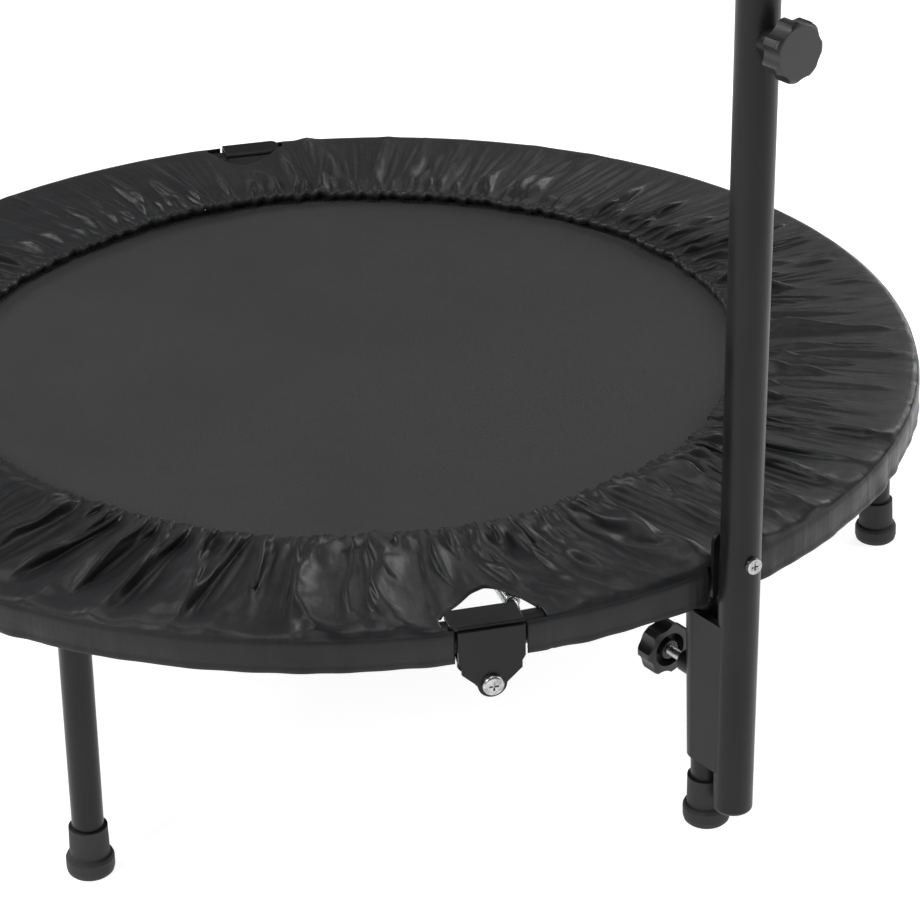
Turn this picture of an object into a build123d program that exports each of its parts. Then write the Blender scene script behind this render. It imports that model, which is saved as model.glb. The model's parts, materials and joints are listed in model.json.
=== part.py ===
from build123d import *
import os
from math import cos, degrees, radians, sin, tan

# A folding mini trampoline with a height-adjustable handle. Millimetres, +Z up.
# The origin is the centre of the jumping mat's top face, and the fold line is the Y axis.
# The right half (x > 0) carries the handle, and the left half folds down under it.

os.makedirs("parts", exist_ok=True)

# ---------------------------------------------------------------- driving dimensions
FLOOR_Z = -232.0
HALF_GAP = 0.3

TUBE_R = 12.7
TUBE_WALL = 1.5
RING_R = 493.0
RING_Z = -4.7

LEG_COUNT = 6
FIRST_LEG_AZIMUTH = -67.5
LEG_RING_R = 488.5
LEG_TILT = 2.0
COLLAR_BOTTOM_Z = -24.0
STUD_R = 5.0
STUD_BOTTOM_Z = -52.0
LEG_NUT_BOTTOM_Z = -36.0
SOLE_THICKNESS = 6.0
FOOT_HEIGHT = 42.0

SPRING_COUNT = 32
FIRST_SPRING_AZIMUTH = -86.5
SPRING_R = 6.5
SPRING_BORE_R = 4.3
SPRING_WIRE_R = 1.1
SPRING_INNER_R = 397.0
SPRING_OUTER_R = 465.0
SPRING_HOLE_R = 2.2

MAT_R = 372.0
MAT_THICKNESS = 1.6
WEBBING_INNER_R = 350.0
WEBBING_THICKNESS = 1.8
MAT_RING_CENTRE_R = 383.0
MAT_RING_R = 7.5
MAT_RING_WIRE_R = 1.8
MAT_RING_Z = -1.1
TAB_WIDTH = 18.0
TAB_THICKNESS = 5.0

HEM_R = 350.0
HEM_CORD_R = 2.3
COVER_R = 507.8
COVER_THICKNESS = 1.8
COVER_RIM_START_R = 480.0
COVER_TOP_Z = 10.0
HEM_Z = 12.0
SKIRT_BOTTOM_Z = -19.0
NOTCH_X = 5.0
NOTCH_Y = -492.0
NOTCH_R = 44.0

PIVOT_Z = -40.0
CHEEK_HALF_WIDTH = 26.0
CHEEK_THICKNESS = 2.5
CHEEK_GAP = 27.8
EAR_INNER_Y = 10.8
STRAP_THICKNESS = 3.0
PIVOT_BOLT_R = 4.0
PIVOT_HEAD_R = 8.5
SPACER_R = 6.5
RUNNING_CLEARANCE = 0.08
FASTENED_CLEARANCE = 0.15

POST_AZIMUTH = FIRST_LEG_AZIMUTH
POST_PLAN_R = 527.0
POST_R = 15.9
POST_BORE_R = 14.4
POST_BOTTOM_Z = -204.0
POST_TOP_Z = 480.0
RIM_BOLT_Z = 26.0
RIM_BOLT_AZIMUTH = -75.0
RIM_BOLT_R = 3.0
RIM_BOLT_HEAD_R = 6.3

INNER_POST_R = 13.5
INNER_POST_BOTTOM_Z = 220.0
BAR_Z = 828.0
BAR_HALF_LENGTH = 280.0
GRIP_START = 62.0
GRIP_R = 18.0
HOLE_PITCH = 50.0
HOLE_COUNT = 6

KNOB_R = 22.5
KNOB_THICKNESS = 16.0
KNOB_LOBES = 7
KNOB_HUB_R = 8.0
KNOB_RECESS_R = 14.5
KNOB_RECESS_DEPTH = 9.0
KNOB_SCREW_R = 4.0
HEIGHT_KNOB_Z = 440.0
HEIGHT_KNOB_REACH = 28.0
CLAMP_KNOB_Z = -96.0
CLAMP_KNOB_REACH = 44.0
SLEEVE_TOP_Z = -33.0
SLEEVE_BOTTOM_Z = -169.0
SLEEVE_R = 15.7
SLEEVE_BORE_R = 12.95

# ---------------------------------------------------------------- helpers
parts = {}


def polar(radius, azimuth, z=0.0):
    return Vector(radius * cos(radians(azimuth)), radius * sin(radians(azimuth)), z)


def rod(start, end, radius):
    axis = Vector(end) - Vector(start)
    return Solid.make_cylinder(radius, axis.length, Plane(origin=start, z_dir=axis))


def tube(start, end, radius, bore_radius):
    overshoot = (Vector(end) - Vector(start)).normalized()
    return rod(start, end, radius) - rod(Vector(start) - overshoot, Vector(end) + overshoot, bore_radius)


def block(x_range, y_range, z_range):
    size = [high - low for low, high in (x_range, y_range, z_range)]
    return Solid.make_box(*size, Plane(origin=(x_range[0], y_range[0], z_range[0])))


def hexagon_bar(start, end, across_flats):
    axis = Vector(end) - Vector(start)
    plane = Plane(origin=start, z_dir=axis)
    return extrude(plane * RegularPolygon(across_flats / 2, 6, major_radius=False), axis.length)


def half_turn(shape):
    """The same piece on the other side of the trampoline."""
    return Rot(0, 0, 180) * shape


def around_half(profile, radius):
    """Turn a profile of the XZ plane round the right half, short of the fold line by the gap."""
    trim = degrees(HALF_GAP / radius)
    return Rot(0, 0, trim - 90) * revolve(profile, Axis.Z, 180 - 2 * trim)


def keep(name, *shapes):
    solids = [solid for shape in shapes for solid in shape.solids()]
    parts[name] = solids[0] if len(solids) == 1 else Compound(solids)


def mirror_pair(piece, right_shapes):
    """Both halves of the trampoline are made alike, so the left one is the right one turned round."""
    keep("right_" + piece, *right_shapes)
    keep("left_" + piece, *[half_turn(shape) for shape in right_shapes])


# ---------------------------------------------------------------- ring, leg studs
spring_pitch = 360 / SPRING_COUNT
right_spring_azimuths = [FIRST_SPRING_AZIMUTH + spring_pitch * k for k in range(SPRING_COUNT // 2)]
leg_pitch = 360 / LEG_COUNT
right_leg_azimuths = [FIRST_LEG_AZIMUTH + leg_pitch * k for k in range(LEG_COUNT // 2)]
spring_hook_z = RING_Z + TUBE_R * sin(radians(20))


def leg_axis_point(azimuth, z):
    return polar(LEG_RING_R + (RING_Z - z) * tan(radians(LEG_TILT)), azimuth, z)


def make_ring():
    section = Plane.XZ * Pos(RING_R, RING_Z) * (Circle(TUBE_R) - Circle(TUBE_R - TUBE_WALL))
    ring = around_half(section, RING_R)
    for azimuth in right_spring_azimuths:
        inner = polar(RING_R - TUBE_R - 3, azimuth, spring_hook_z)
        ring = ring - rod(inner, polar(RING_R - 4, azimuth, spring_hook_z), SPRING_HOLE_R)
    return ring


def make_leg_stud(azimuth):
    """A collar welded under the ring, with the threaded stud that the leg screws onto."""
    collar = rod(leg_axis_point(azimuth, RING_Z), leg_axis_point(azimuth, COLLAR_BOTTOM_Z), TUBE_R)
    stud = rod(leg_axis_point(azimuth, RING_Z - 10), leg_axis_point(azimuth, STUD_BOTTOM_Z), STUD_R)
    envelope = Plane.XZ * Pos(RING_R, RING_Z) * Circle(TUBE_R)
    return (collar + stud) - Rot(0, 0, azimuth - 5) * revolve(envelope, Axis.Z, 10)


mirror_pair("ring", [make_ring()])
mirror_pair("leg_studs", [make_leg_stud(azimuth) for azimuth in right_leg_azimuths])


# ---------------------------------------------------------------- legs and rubber feet
def make_leg(azimuth):
    top = leg_axis_point(azimuth, COLLAR_BOTTOM_Z - 0.1)
    bottom = leg_axis_point(azimuth, FLOOR_Z + SOLE_THICKNESS)
    leg = tube(top, bottom, TUBE_R, TUBE_R - TUBE_WALL)
    nut_bottom = leg_axis_point(azimuth, LEG_NUT_BOTTOM_Z)
    nut = tube(top, nut_bottom, TUBE_R - TUBE_WALL, STUD_R + FASTENED_CLEARANCE)
    return leg + nut


def make_foot(azimuth):
    bore_r = TUBE_R + 0.02
    outline = [(0, -1.5), (15.5, -1.5), (18.4, 1.5), (19.3, 5), (19.3, 13.5), (18.2, 16), (16.0, 17.5),
               (15.4, FOOT_HEIGHT), (bore_r, FOOT_HEIGHT), (bore_r, SOLE_THICKNESS), (0, SOLE_THICKNESS)]
    profile = Plane.XZ * make_face(Polyline(*outline, close=True))
    foot = revolve(profile, Axis.Z, 360)
    placed = Plane(origin=leg_axis_point(azimuth, FLOOR_Z),
                   z_dir=leg_axis_point(azimuth, RING_Z) - leg_axis_point(azimuth, FLOOR_Z)) * foot
    below = Pos(*leg_axis_point(azimuth, FLOOR_Z - 10)) * Box(60, 60, 20)
    return placed - below


for number in range(LEG_COUNT):
    leg_azimuth = FIRST_LEG_AZIMUTH + leg_pitch * number
    keep(f"leg_{number + 1}", make_leg(leg_azimuth))
    keep(f"foot_{number + 1}", make_foot(leg_azimuth))


# ---------------------------------------------------------------- mat, webbing, mat rings, springs
def half_disc_section(inner, outer, low, high):
    return Plane.XZ * Pos((inner + outer) / 2, (low + high) / 2) * Rectangle(outer - inner, high - low)


def make_mat(right):
    """Half of the round mat. The right half reaches 1 mm past the fold line, so the origin lies on it."""
    disc = Pos(0, 0, -MAT_THICKNESS) * Solid.make_cylinder(MAT_R, MAT_THICKNESS)
    edge = -1.0 if right else -1.0 - HALF_GAP
    low, high = (edge, MAT_R + 10) if right else (-MAT_R - 10, edge)
    return disc & block((low, high), (-MAT_R - 10, MAT_R + 10), (-10, 10))


def make_mat_ring(azimuth):
    """The steel ring at the mat's edge that one spring hooks into."""
    return Pos(*polar(MAT_RING_CENTRE_R, azimuth, MAT_RING_Z)) * Solid.make_torus(MAT_RING_R, MAT_RING_WIRE_R)


def make_mat_tab(azimuth):
    """The webbing loop that is sewn to the mat and holds one ring."""
    middle = polar((MAT_R + MAT_RING_CENTRE_R) / 2 - 0.4, azimuth, MAT_RING_Z)
    length = MAT_RING_CENTRE_R - MAT_R - 1.0
    tab = Pos(*middle) * Rot(0, 0, azimuth) * Box(length, TAB_WIDTH, TAB_THICKNESS)
    ring_place = Pos(*polar(MAT_RING_CENTRE_R, azimuth, MAT_RING_Z))
    return tab - ring_place * Solid.make_torus(MAT_RING_R, MAT_RING_WIRE_R + 0.1)


def make_spring(azimuth):
    """A closed-wound tension spring as the tube that its coils fill, with a hook wire at each end."""
    start = Vector(SPRING_INNER_R, 0, spring_hook_z)
    end = Vector(SPRING_OUTER_R, 0, spring_hook_z)
    coils = tube(start, end, SPRING_R, SPRING_BORE_R)
    inner_tip = MAT_RING_CENTRE_R + MAT_RING_R + MAT_RING_WIRE_R + 0.3
    inner_end = rod((inner_tip, 0, spring_hook_z), start + Vector(2, 0, 0), SPRING_WIRE_R)
    outer_end = rod(end - Vector(2, 0, 0), (RING_R - TUBE_R + 5, 0, spring_hook_z), SPRING_WIRE_R)
    for x in (SPRING_INNER_R + SPRING_WIRE_R, SPRING_OUTER_R - SPRING_WIRE_R):
        coils = coils + rod((x, -5.5, spring_hook_z), (x, 5.5, spring_hook_z), SPRING_WIRE_R)
    return Rot(0, 0, azimuth) * (coils + inner_end + outer_end)


keep("right_mat", make_mat(True))
keep("left_mat", make_mat(False))
webbing_bottom = -MAT_THICKNESS - WEBBING_THICKNESS
webbing = half_disc_section(WEBBING_INNER_R, MAT_R, webbing_bottom, -MAT_THICKNESS)
mirror_pair("mat_webbing", [Rot(0, 0, -89.7) * revolve(webbing, Axis.Z, 179.4)])
mirror_pair("mat_tabs", [make_mat_tab(azimuth) for azimuth in right_spring_azimuths])
mirror_pair("mat_rings", [make_mat_ring(azimuth) for azimuth in right_spring_azimuths])
mirror_pair("springs", [make_spring(azimuth) for azimuth in right_spring_azimuths])


# ---------------------------------------------------------------- padded spring cover
def make_cover():
    """The top panel over the springs and the skirt that hangs from it, as two solids."""
    hem = HEM_R + 2 * HEM_CORD_R + 0.2
    lower_z = RING_Z + TUBE_R + 0.3
    skirt_inner = COVER_R - COVER_THICKNESS
    panel = [(hem, HEM_Z - 1.2), (COVER_RIM_START_R, lower_z), (COVER_R, lower_z),
             (COVER_R, COVER_TOP_Z - 1.2), (COVER_R - 1.2, COVER_TOP_Z),
             (COVER_RIM_START_R, lower_z + COVER_THICKNESS), (hem, HEM_Z + 0.8)]
    skirt = [(skirt_inner, SKIRT_BOTTOM_Z), (COVER_R, SKIRT_BOTTOM_Z), (COVER_R, lower_z),
             (skirt_inner, lower_z)]
    top_notch = Pos(NOTCH_X, NOTCH_Y, lower_z - 0.2) * Solid.make_cylinder(NOTCH_R, 20)
    pieces = []
    for outline in (panel, skirt):
        piece = around_half(Plane.XZ * make_face(Polyline(*outline, close=True)), COVER_R)
        piece = piece - top_notch - half_turn(top_notch)
        for side in (1, -1):
            hinge_gap = Pos(0, side * 500, 0) * Box(2 * CHEEK_HALF_WIDTH + 4, 60, 80)
            piece = piece - hinge_gap
        pieces.append(piece)
    return pieces


# The slit in the seam where the handle's rim bracket comes through.
bracket_slit = Rot(0, 0, POST_AZIMUTH) * block((503, 520), (-14, 14), (-30, 30))
hem_cord = Plane.XZ * Pos(HEM_R + HEM_CORD_R, HEM_Z) * Circle(HEM_CORD_R)
keep("right_cover", *[piece - bracket_slit for piece in make_cover()])
keep("left_cover", *[half_turn(piece) for piece in make_cover()])
mirror_pair("hem_elastic", [around_half(hem_cord, HEM_R)])


# ---------------------------------------------------------------- fold hinges
hinge_y = -(RING_R - 0.35)
cheek_inner = CHEEK_GAP / 2
cheek_outer = cheek_inner + CHEEK_THICKNESS
web_top = RING_Z - TUBE_R - 0.05


def plate_outline(half_width, top_z):
    """A plate that comes down from the tube to a round end about the pivot."""
    tip_r = 11.5
    straight = Polyline((-half_width, top_z), (half_width, top_z), (half_width, -19), (half_width - 2.5, -23),
                        (half_width - 2.5, -29), (0, -51), (2.5 - half_width, -29), (2.5 - half_width, -23),
                        (-half_width, -19), close=True)
    return make_face(straight) + Pos(0, PIVOT_Z) * Circle(tip_r)


def hinge_bolt_hole(radius):
    return rod((0, hinge_y - 40, PIVOT_Z), (0, hinge_y + 40, PIVOT_Z), radius)


def make_clevis():
    """Two cheeks outside the tube and a web under it, welded to this half's tube end."""
    outline = Plane.XZ * plate_outline(CHEEK_HALF_WIDTH, RING_Z + TUBE_R - 0.5)
    outer = Pos(0, hinge_y - cheek_inner, 0) * extrude(outline, CHEEK_THICKNESS)
    inner = Pos(0, hinge_y + cheek_outer, 0) * extrude(outline, CHEEK_THICKNESS)
    web = block((4, CHEEK_HALF_WIDTH), (hinge_y - cheek_inner - 1, hinge_y + cheek_inner + 1),
                (web_top - CHEEK_THICKNESS, web_top))
    clevis = outer + inner + web
    return clevis - hinge_bolt_hole(PIVOT_BOLT_R + FASTENED_CLEARANCE)


def make_tongue():
    """A channel under the other half's tube end, whose two ears turn on the pivot bolt."""
    web = block((-CHEEK_HALF_WIDTH, -3), (hinge_y - EAR_INNER_Y, hinge_y + EAR_INNER_Y),
                (web_top - CHEEK_THICKNESS, web_top))
    shape = make_face(Polyline((-CHEEK_HALF_WIDTH, web_top - 1), (-3, web_top - 1), (10, PIVOT_Z + 2),
                               (10, PIVOT_Z - 4), (-6, PIVOT_Z - 9), (-CHEEK_HALF_WIDTH, -24), close=True))
    ear = Plane.XZ * (shape + Pos(0, PIVOT_Z) * Circle(11))
    outer = Pos(0, hinge_y - EAR_INNER_Y, 0) * extrude(ear, CHEEK_THICKNESS)
    inner = Pos(0, hinge_y + EAR_INNER_Y + CHEEK_THICKNESS, 0) * extrude(ear, CHEEK_THICKNESS)
    tongue = web + outer + inner
    return tongue - hinge_bolt_hole(PIVOT_BOLT_R + RUNNING_CLEARANCE)


def make_strap():
    """The plate on top of the tubes. It is welded to the folding half and rests on the other one."""
    low = RING_Z + TUBE_R + 0.05
    strap = block((-31, CHEEK_HALF_WIDTH), (hinge_y - 13.5, hinge_y + 13.5), (low, low + STRAP_THICKNESS))
    strap = fillet(strap.edges().filter_by(Axis.Z).group_by(Axis.X)[0], 7)
    return chamfer(strap.edges().group_by(Axis.Z)[-1], 0.6)


def make_pivot_bolt():
    head_y = hinge_y - cheek_outer
    shank = rod((0, head_y - 1, PIVOT_Z), (0, hinge_y + cheek_outer + 11, PIVOT_Z), PIVOT_BOLT_R)
    head = rod((0, head_y, PIVOT_Z), (0, head_y - 4.5, PIVOT_Z), PIVOT_HEAD_R)
    head = fillet(head.edges().group_by(Axis.Y)[0], 2.4)
    for angle in (0, 90):
        recess = Pos(0, head_y - 4.0, PIVOT_Z) * Rot(0, angle, 0) * Box(7.5, 3.0, 1.6)
        head = head - recess
    return shank + head


def make_spacer():
    reach = EAR_INNER_Y - 0.1
    start, end = (0, hinge_y - reach, PIVOT_Z), (0, hinge_y + reach, PIVOT_Z)
    return tube(start, end, SPACER_R, PIVOT_BOLT_R + RUNNING_CLEARANCE)


nut_start = hinge_y + cheek_outer
washer = tube((0, nut_start, PIVOT_Z), (0, nut_start + 1.5, PIVOT_Z), PIVOT_HEAD_R,
              PIVOT_BOLT_R + FASTENED_CLEARANCE)
nut = hexagon_bar((0, nut_start + 1.5, PIVOT_Z), (0, nut_start + 9, PIVOT_Z), 13)
nut = nut - hinge_bolt_hole(PIVOT_BOLT_R + FASTENED_CLEARANCE)

hinge_pieces = {"hinge_clevis": [make_clevis()], "hinge_tongue": [make_tongue()],
                "hinge_strap": [make_strap()], "pivot_bolt": [make_pivot_bolt()],
                "pivot_spacer": [make_spacer()], "pivot_nut_and_washer": [nut, washer]}
for piece, shapes in hinge_pieces.items():
    keep("front_" + piece, *shapes)
    keep("back_" + piece, *[half_turn(shape) for shape in shapes])


# ---------------------------------------------------------------- handle post
post_x, post_y, _ = polar(POST_PLAN_R, POST_AZIMUTH)
outward = polar(1, POST_AZIMUTH)


def on_post(z, reach=0.0, direction=outward):
    return Vector(post_x, post_y, z) + direction * reach


def make_post():
    post = tube(on_post(POST_BOTTOM_Z + 3), on_post(POST_TOP_Z), POST_R, POST_BORE_R)
    bolt_direction = polar(1, RIM_BOLT_AZIMUTH)
    post = post - rod(on_post(RIM_BOLT_Z, -30, bolt_direction), on_post(RIM_BOLT_Z, 30, bolt_direction),
                      RIM_BOLT_R + 0.2)
    screw_hole = rod(on_post(HEIGHT_KNOB_Z), on_post(HEIGHT_KNOB_Z, 30), KNOB_SCREW_R + 0.6)
    return post - screw_hole


def make_post_boss():
    boss = rod(on_post(HEIGHT_KNOB_Z, 10), on_post(HEIGHT_KNOB_Z, 25), 11.5)
    boss = boss - rod(on_post(HEIGHT_KNOB_Z - 40), on_post(HEIGHT_KNOB_Z + 40), POST_R + 0.02)
    return boss - rod(on_post(HEIGHT_KNOB_Z), on_post(HEIGHT_KNOB_Z, 40), KNOB_SCREW_R + RUNNING_CLEARANCE)


def make_post_cap():
    disc = rod(on_post(POST_BOTTOM_Z), on_post(POST_BOTTOM_Z + 2.9), POST_R)
    disc = fillet(disc.edges().group_by(Axis.Z)[0], 2.4)
    return disc + tube(on_post(POST_BOTTOM_Z + 2), on_post(POST_BOTTOM_Z + 18), POST_BORE_R - 0.05, 11)


def make_post_bushing():
    """The plastic ring in the post's mouth that guides the inner post."""
    collar = rod(on_post(POST_TOP_Z + 0.05), on_post(POST_TOP_Z + 11), POST_R + 1.5)
    collar = fillet(collar.edges().group_by(Axis.Z)[-1], 2)
    sleeve = rod(on_post(POST_TOP_Z - 26), on_post(POST_TOP_Z + 1), POST_BORE_R - 0.05)
    bore = rod(on_post(POST_TOP_Z - 30), on_post(POST_TOP_Z + 20), INNER_POST_R + RUNNING_CLEARANCE)
    return collar + sleeve - bore


def make_rim_bracket():
    """A plate welded to the ring's outside, which the post is bolted to."""
    ring_outside = RING_R + TUBE_R
    plate = Rot(0, 0, POST_AZIMUTH) * block((ring_outside + 0.1, ring_outside + 3.4), (-11, 11), (-15, 40))
    plate = fillet(plate.edges().filter_by(lambda e: e.length < 3.5 and e.center().Z > 30), 8)
    direction = polar(1, RIM_BOLT_AZIMUTH)
    return plate - rod(on_post(RIM_BOLT_Z, -40, direction), on_post(RIM_BOLT_Z, 0, direction), 5.0)


def make_rim_bolt():
    direction = polar(1, RIM_BOLT_AZIMUTH)
    head_start = POST_R + 0.1
    head_end = head_start + 3.6
    head = rod(on_post(RIM_BOLT_Z, head_start, direction), on_post(RIM_BOLT_Z, head_end, direction),
               RIM_BOLT_HEAD_R)
    recess = Plane(origin=on_post(RIM_BOLT_Z, head_start + 3.0, direction), z_dir=direction)
    for angle in (0, 90):
        head = head - recess * Rot(0, 0, angle) * Box(6, 1.4, 2.4)
    shank = rod(on_post(RIM_BOLT_Z, -33, direction), on_post(RIM_BOLT_Z, head_start + 1, direction),
                RIM_BOLT_R)
    return head + shank


def make_rim_nut():
    direction = polar(1, RIM_BOLT_AZIMUTH)
    body = hexagon_bar(on_post(RIM_BOLT_Z, -24, direction), on_post(RIM_BOLT_Z, -31, direction), 10)
    return body - rod(on_post(RIM_BOLT_Z, -40, direction), on_post(RIM_BOLT_Z, 0, direction),
                      RIM_BOLT_R + 0.1)


keep("handle_post", make_post())
keep("post_boss", make_post_boss())
keep("post_bottom_cap", make_post_cap())
keep("post_bushing", make_post_bushing())
keep("rim_bracket", make_rim_bracket())
keep("rim_bolt", make_rim_bolt())
keep("rim_nut", make_rim_nut())


# ---------------------------------------------------------------- leg sleeve and its boss
def leg_frame_point(z, reach=0.0):
    """A point level with z, on the handle leg's axis or further inboard of it by the reach."""
    return leg_axis_point(POST_AZIMUTH, z) - outward * reach


def make_sleeve():
    """A channel round the leg, welded to the post. Its bore follows the leg's tilt."""
    top = leg_frame_point(SLEEVE_TOP_Z)
    bottom = leg_frame_point(SLEEVE_BOTTOM_Z)
    shell = rod(bottom, top, SLEEVE_R)
    cheeks = Rot(0, 0, POST_AZIMUTH) * block((LEG_RING_R + 4, POST_PLAN_R), (-SLEEVE_R, SLEEVE_R),
                                             (SLEEVE_BOTTOM_Z + 0.6, SLEEVE_TOP_Z - 0.6))
    overshoot = (top - bottom).normalized() * 5
    bore = rod(bottom - overshoot, top + overshoot, SLEEVE_BORE_R)
    slot = Rot(0, 0, POST_AZIMUTH) * block((LEG_RING_R + 6, POST_PLAN_R), (-9, 9),
                                           (SLEEVE_BOTTOM_Z - 5, SLEEVE_TOP_Z + 5))
    sleeve = shell + cheeks - bore - slot
    sleeve = sleeve - rod(on_post(POST_BOTTOM_Z), on_post(0), POST_R + 0.02)
    hole = rod(leg_frame_point(CLAMP_KNOB_Z), leg_frame_point(CLAMP_KNOB_Z, 30), KNOB_SCREW_R + 0.6)
    return sleeve - hole


def make_sleeve_boss():
    boss = rod(leg_frame_point(CLAMP_KNOB_Z, 12), leg_frame_point(CLAMP_KNOB_Z, 25), 9.5)
    boss = boss - rod(leg_frame_point(SLEEVE_BOTTOM_Z), leg_frame_point(SLEEVE_TOP_Z), SLEEVE_R + 0.02)
    return boss - rod(leg_frame_point(CLAMP_KNOB_Z), leg_frame_point(CLAMP_KNOB_Z, 40),
                      KNOB_SCREW_R + RUNNING_CLEARANCE)


keep("leg_sleeve", make_sleeve())
keep("sleeve_boss", make_sleeve_boss())


# ---------------------------------------------------------------- star knobs on their screws
def make_knob():
    """A star knob about +Z with its back at z = 0: scalloped rim, domed face, hollow back."""
    body = Solid.make_cylinder(KNOB_R, KNOB_THICKNESS)
    body = fillet(body.edges().group_by(Axis.Z)[-1], 4)
    body = chamfer(body.edges().group_by(Axis.Z)[0], 1)
    for lobe in range(KNOB_LOBES):
        scallop = polar(KNOB_R + 9.5, 360 / KNOB_LOBES * lobe)
        body = body - Pos(*scallop) * Pos(0, 0, -1) * Solid.make_cylinder(13, KNOB_THICKNESS + 2)
    recess = Solid.make_cylinder(KNOB_RECESS_R, KNOB_RECESS_DEPTH)
    recess = recess - Solid.make_cylinder(KNOB_HUB_R, KNOB_RECESS_DEPTH)
    return body - Pos(0, 0, -0.01) * recess


def place_knob(origin, direction, reach, screw_start):
    """The knob with its back at the reach, and its screw from the tip to inside the knob."""
    plane = Plane(origin=origin + direction * reach, z_dir=direction)
    screw_end = reach + KNOB_THICKNESS - 4
    screw = rod(origin + direction * screw_start, origin + direction * screw_end, KNOB_SCREW_R)
    return plane * make_knob() - screw, screw


height_origin = on_post(HEIGHT_KNOB_Z)
clamp_origin = leg_frame_point(CLAMP_KNOB_Z)
height_knob, height_screw = place_knob(height_origin, outward, HEIGHT_KNOB_REACH, INNER_POST_R + 0.3)
clamp_knob, clamp_screw = place_knob(clamp_origin, outward * -1, CLAMP_KNOB_REACH, TUBE_R + 0.3)
keep("height_knob", height_knob)
keep("height_knob_screw", height_screw)
keep("clamp_knob", clamp_knob)
keep("clamp_knob_screw", clamp_screw)

# ---------------------------------------------------------------- inner post, handlebar, grips
bar_direction = polar(1, POST_AZIMUTH + 90)
bar_centre = on_post(BAR_Z)


def on_bar(distance):
    return bar_centre + bar_direction * distance


def make_inner_post():
    inner = tube(on_post(INNER_POST_BOTTOM_Z), on_post(BAR_Z), INNER_POST_R, INNER_POST_R - TUBE_WALL)
    inner = inner - rod(on_bar(-40), on_bar(40), TUBE_R + 0.02)
    first_hole = HEIGHT_KNOB_Z - 3 * HOLE_PITCH
    for index in range(HOLE_COUNT):
        z = first_hole + HOLE_PITCH * index
        inner = inner - rod(on_post(z), on_post(z, 20), KNOB_SCREW_R + 0.5)
    return inner


def make_end_cap(side):
    plug_r = TUBE_R - TUBE_WALL - 0.05
    plug = rod(on_bar(side * (BAR_HALF_LENGTH - 18)), on_bar(side * (BAR_HALF_LENGTH + 1)), plug_r)
    flange = rod(on_bar(side * (BAR_HALF_LENGTH + 0.05)), on_bar(side * (BAR_HALF_LENGTH + 4)), TUBE_R + 3.5)
    circles = flange.edges().filter_by(GeomType.CIRCLE)
    outermost = circles.sort_by(lambda edge: side * (edge.center() - bar_centre).dot(bar_direction))[-1]
    return plug + fillet(outermost, 2)


keep("inner_post", make_inner_post())
keep("handlebar", tube(on_bar(-BAR_HALF_LENGTH), on_bar(BAR_HALF_LENGTH), TUBE_R, TUBE_R - TUBE_WALL))
for side, label in ((1, "right"), (-1, "left")):
    grip = rod(on_bar(side * GRIP_START), on_bar(side * (BAR_HALF_LENGTH - 1)), GRIP_R)
    grip = chamfer(grip.edges().filter_by(GeomType.CIRCLE), 1.5)
    keep(label + "_foam_grip", grip - rod(on_bar(0), on_bar(side * (BAR_HALF_LENGTH + 10)), TUBE_R + 0.03))

keep("bar_end_caps", make_end_cap(1), make_end_cap(-1))

# ---------------------------------------------------------------- export
for name, shape in parts.items():
    export_step(shape, f"parts/{name}.step")
print(len(parts), "nodes")
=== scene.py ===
import json
from math import cos, pi, radians, sin, sqrt

import bpy
import numpy as np
from mathutils import Matrix, Vector


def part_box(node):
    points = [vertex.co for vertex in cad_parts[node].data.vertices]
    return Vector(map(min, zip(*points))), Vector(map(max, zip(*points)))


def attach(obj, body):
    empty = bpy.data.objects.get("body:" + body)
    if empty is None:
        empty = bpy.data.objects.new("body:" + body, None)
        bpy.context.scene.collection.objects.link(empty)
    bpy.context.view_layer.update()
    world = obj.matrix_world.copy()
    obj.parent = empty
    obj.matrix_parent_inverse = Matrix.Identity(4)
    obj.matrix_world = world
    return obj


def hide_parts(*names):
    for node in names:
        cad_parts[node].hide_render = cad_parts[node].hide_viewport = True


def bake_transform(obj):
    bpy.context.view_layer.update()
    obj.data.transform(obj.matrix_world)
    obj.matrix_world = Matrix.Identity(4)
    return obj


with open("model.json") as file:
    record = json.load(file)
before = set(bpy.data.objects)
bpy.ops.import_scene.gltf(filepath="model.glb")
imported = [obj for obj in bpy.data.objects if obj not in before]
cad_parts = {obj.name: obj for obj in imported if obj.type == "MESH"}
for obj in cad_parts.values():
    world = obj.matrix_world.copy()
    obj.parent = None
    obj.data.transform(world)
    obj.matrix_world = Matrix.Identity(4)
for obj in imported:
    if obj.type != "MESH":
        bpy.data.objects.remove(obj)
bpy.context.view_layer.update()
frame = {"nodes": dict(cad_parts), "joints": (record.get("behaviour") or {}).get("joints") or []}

# A folding mini trampoline, in metres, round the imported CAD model.
# The mat's top is at z = 0, the fold line is the Y axis, and the right half carries the handle.

MM = 0.001
RIGHT = "right_half"
LEFT = "left_half"

# ---------------------------------------------------------------- sizes read from the frame
mat_low, mat_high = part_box("right_mat")
MAT_R = mat_high.x
MAT_THICKNESS = mat_high.z - mat_low.z
ring_low, ring_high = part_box("right_ring")
TUBE_R = (ring_high.z - ring_low.z) / 2
RING_R = ring_high.x - TUBE_R
RING_Z = (ring_high.z + ring_low.z) / 2
cover_low, cover_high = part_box("right_cover")
COVER_R = cover_high.x
SKIRT_Z = cover_low.z
elastic_low, elastic_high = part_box("right_hem_elastic")
CORD_R = (elastic_high.z - elastic_low.z) / 2
HEM_Z = (elastic_high.z + elastic_low.z) / 2
HEM_R = elastic_high.x - CORD_R
webbing_low, webbing_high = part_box("right_mat_webbing")
FLOOR_Z = min(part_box(f"foot_{number}")[0].z for number in range(1, 7))

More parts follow.
